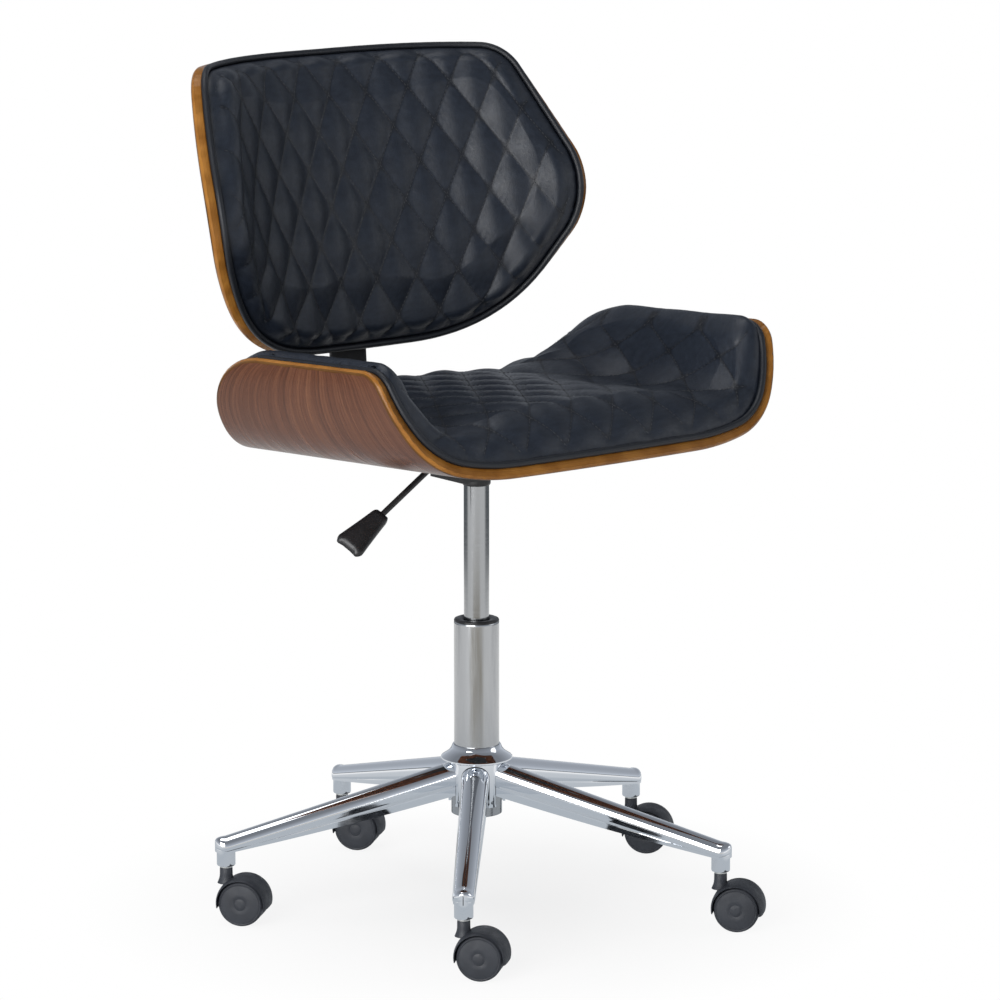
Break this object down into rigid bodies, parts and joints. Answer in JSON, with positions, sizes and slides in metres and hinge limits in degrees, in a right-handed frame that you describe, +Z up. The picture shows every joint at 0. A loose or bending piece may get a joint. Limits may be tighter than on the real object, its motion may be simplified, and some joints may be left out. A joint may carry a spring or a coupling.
{
  "type": "task chair",
  "caption": "Swivel task chair with bent plywood seat and back shells, quilted leather pads, gas lift with height lever and a chrome star base on twin-wheel casters.",
  "frame": {"origin": "on the floor under the column's axis", "axes": "+Z up along the column, the sitter faces -Y, +X is the sitter's left"},
  "size_m": [0.6074, 0.5999, 0.9296],
  "materials": {
    "chrome": "polished",
    "satin_steel": "satin",
    "black_plastic": "matte",
    "black_steel": "satin black powder coat",
    "walnut_plywood": "satin lacquer",
    "quilted_leather": "soft semi-matt",
    "zinc_steel": "zinc plated"
  },
  "bodies": {
    "base": {"hub_skirt": "chrome", "hub_core": "chrome", "hub_collar": "chrome", "caster_sockets": "chrome", "caster_stems": "zinc_steel", "column_tube": "satin_steel", "column_bush": "black_plastic", "thrust_bearing": "zinc_steel", "base_leg_1": "chrome", "base_leg_2": "chrome", "base_leg_3": "chrome", "base_leg_4": "chrome", "base_leg_5": "chrome"},
    "lift_rod": {"piston_rod": "zinc_steel", "rod_clip": "zinc_steel", "piston": "zinc_steel"},
    "seat": {"gas_cylinder": "chrome", "cylinder_gland": "black_plastic", "taper_socket": "black_steel", "seat_carrier": "black_steel", "seat_bolts": "zinc_steel", "bracket_bolts": "zinc_steel", "back_bolts": "zinc_steel", "seat_tee_nuts": "zinc_steel", "back_tee_nuts": "zinc_steel", "seat_shell": "walnut_plywood", "seat_pad": "quilted_leather", "back_bracket": "black_steel", "back_shell": "walnut_plywood", "back_pad": "quilted_leather", "lever_pin": "zinc_steel"},
    "lever": {"lever_rod": "black_steel", "lever_paddle": "black_plastic"},
    "button": {"release_button": "zinc_steel"},
    "caster_1": {"caster_1_hood": "black_plastic", "caster_1_axle": "zinc_steel"},
    "caster_1_left": {"caster_1_wheel_left": "black_plastic"},
    "caster_1_right": {"caster_1_wheel_right": "black_plastic"},
    "caster_2": {"caster_2_hood": "black_plastic", "caster_2_axle": "zinc_steel"},
    "caster_2_left": {"caster_2_wheel_left": "black_plastic"},
    "caster_2_right": {"caster_2_wheel_right": "black_plastic"},
    "caster_3": {"caster_3_hood": "black_plastic", "caster_3_axle": "zinc_steel"},
    "caster_3_left": {"caster_3_wheel_left": "black_plastic"},
    "caster_3_right": {"caster_3_wheel_right": "black_plastic"},
    "caster_4": {"caster_4_hood": "black_plastic", "caster_4_axle": "zinc_steel"},
    "caster_4_left": {"caster_4_wheel_left": "black_plastic"},
    "caster_4_right": {"caster_4_wheel_right": "black_plastic"},
    "caster_5": {"caster_5_hood": "black_plastic", "caster_5_axle": "zinc_steel"},
    "caster_5_left": {"caster_5_wheel_left": "black_plastic"},
    "caster_5_right": {"caster_5_wheel_right": "black_plastic"}
  },
  "joints": [
    {"name": "seat_swivel", "type": "hinge", "parent": "base", "child": "lift_rod", "pos_m": [0, 0, 0.11], "axis": [0, 0, 1], "continuous": true},
    {"name": "lift_height", "type": "slide", "parent": "lift_rod", "child": "seat", "axis": [0, 0, 1], "range_m": [-0.1, 0]},
    {"name": "lever_lift", "type": "hinge", "parent": "seat", "child": "lever", "pos_m": [-0.03, 0, 0.503], "axis": [0, 1, 0], "range_deg": [0, 6], "stiffness_Nm_per_rad": 3, "springref_deg": -5.73},
    {"name": "button_press", "type": "slide", "parent": "seat", "child": "button", "axis": [0, 0, -1], "range_m": [0, 0.0035]},
    {"name": "caster_1_swivel", "type": "hinge", "parent": "base", "child": "caster_1", "pos_m": [-0.18698, -0.21509, 0.05], "axis": [0, 0, 1], "continuous": true},
    {"name": "caster_1_left_roll", "type": "hinge", "parent": "caster_1", "child": "caster_1_left", "pos_m": [-0.17425, -0.23053, 0.025], "axis": [0.7716, 0.6361, 0], "continuous": true},
    {"name": "caster_1_right_roll", "type": "hinge", "parent": "caster_1", "child": "caster_1_right", "pos_m": [-0.17425, -0.23053, 0.025], "axis": [0.7716, 0.6361, 0], "continuous": true},
    {"name": "caster_2_swivel", "type": "hinge", "parent": "base", "child": "caster_2", "pos_m": [0.14679, -0.24429, 0.05], "axis": [0, 0, 1], "continuous": true},
    {"name": "caster_2_left_roll", "type": "hinge", "parent": "caster_2", "child": "caster_2_left", "pos_m": [0.15951, -0.25972, 0.025], "axis": [0.7716, 0.6361, 0], "continuous": true},
    {"name": "caster_2_right_roll", "type": "hinge", "parent": "caster_2", "child": "caster_2_right", "pos_m": [0.15951, -0.25972, 0.025], "axis": [0.7716, 0.6361, 0], "continuous": true},
    {"name": "caster_3_swivel", "type": "hinge", "parent": "base", "child": "caster_3", "pos_m": [0.2777, 0.06411, 0.05], "axis": [0, 0, 1], "continuous": true},
    {"name": "caster_3_left_roll", "type": "hinge", "parent": "caster_3", "child": "caster_3_left", "pos_m": [0.29042, 0.04868, 0.025], "axis": [0.7716, 0.6361, 0], "continuous": true},
    {"name": "caster_3_right_roll", "type": "hinge", "parent": "caster_3", "child": "caster_3_right", "pos_m": [0.29042, 0.04868, 0.025], "axis": [0.7716, 0.6361, 0], "continuous": true},
    {"name": "caster_4_swivel", "type": "hinge", "parent": "base", "child": "caster_4", "pos_m": [0.02484, 0.28391, 0.05], "axis": [0, 0, 1], "continuous": true},
    {"name": "caster_4_left_roll", "type": "hinge", "parent": "caster_4", "child": "caster_4_left", "pos_m": [0.03756, 0.26848, 0.025], "axis": [0.7716, 0.6361, 0], "continuous": true},
    {"name": "caster_4_right_roll", "type": "hinge", "parent": "caster_4", "child": "caster_4_right", "pos_m": [0.03756, 0.26848, 0.025], "axis": [0.7716, 0.6361, 0], "continuous": true},
    {"name": "caster_5_swivel", "type": "hinge", "parent": "base", "child": "caster_5", "pos_m": [-0.26234, 0.11136, 0.05], "axis": [0, 0, 1], "continuous": true},
    {"name": "caster_5_left_roll", "type": "hinge", "parent": "caster_5", "child": "caster_5_left", "pos_m": [-0.24962, 0.09593, 0.025], "axis": [0.7716, 0.6361, 0], "continuous": true},
    {"name": "caster_5_right_roll", "type": "hinge", "parent": "caster_5", "child": "caster_5_right", "pos_m": [-0.24962, 0.09593, 0.025], "axis": [0.7716, 0.6361, 0], "continuous": true}
  ],
  "couplings": [
    {"joint": "button_press", "follows": "lever_lift", "m_per_rad": 0.03}
  ]
}
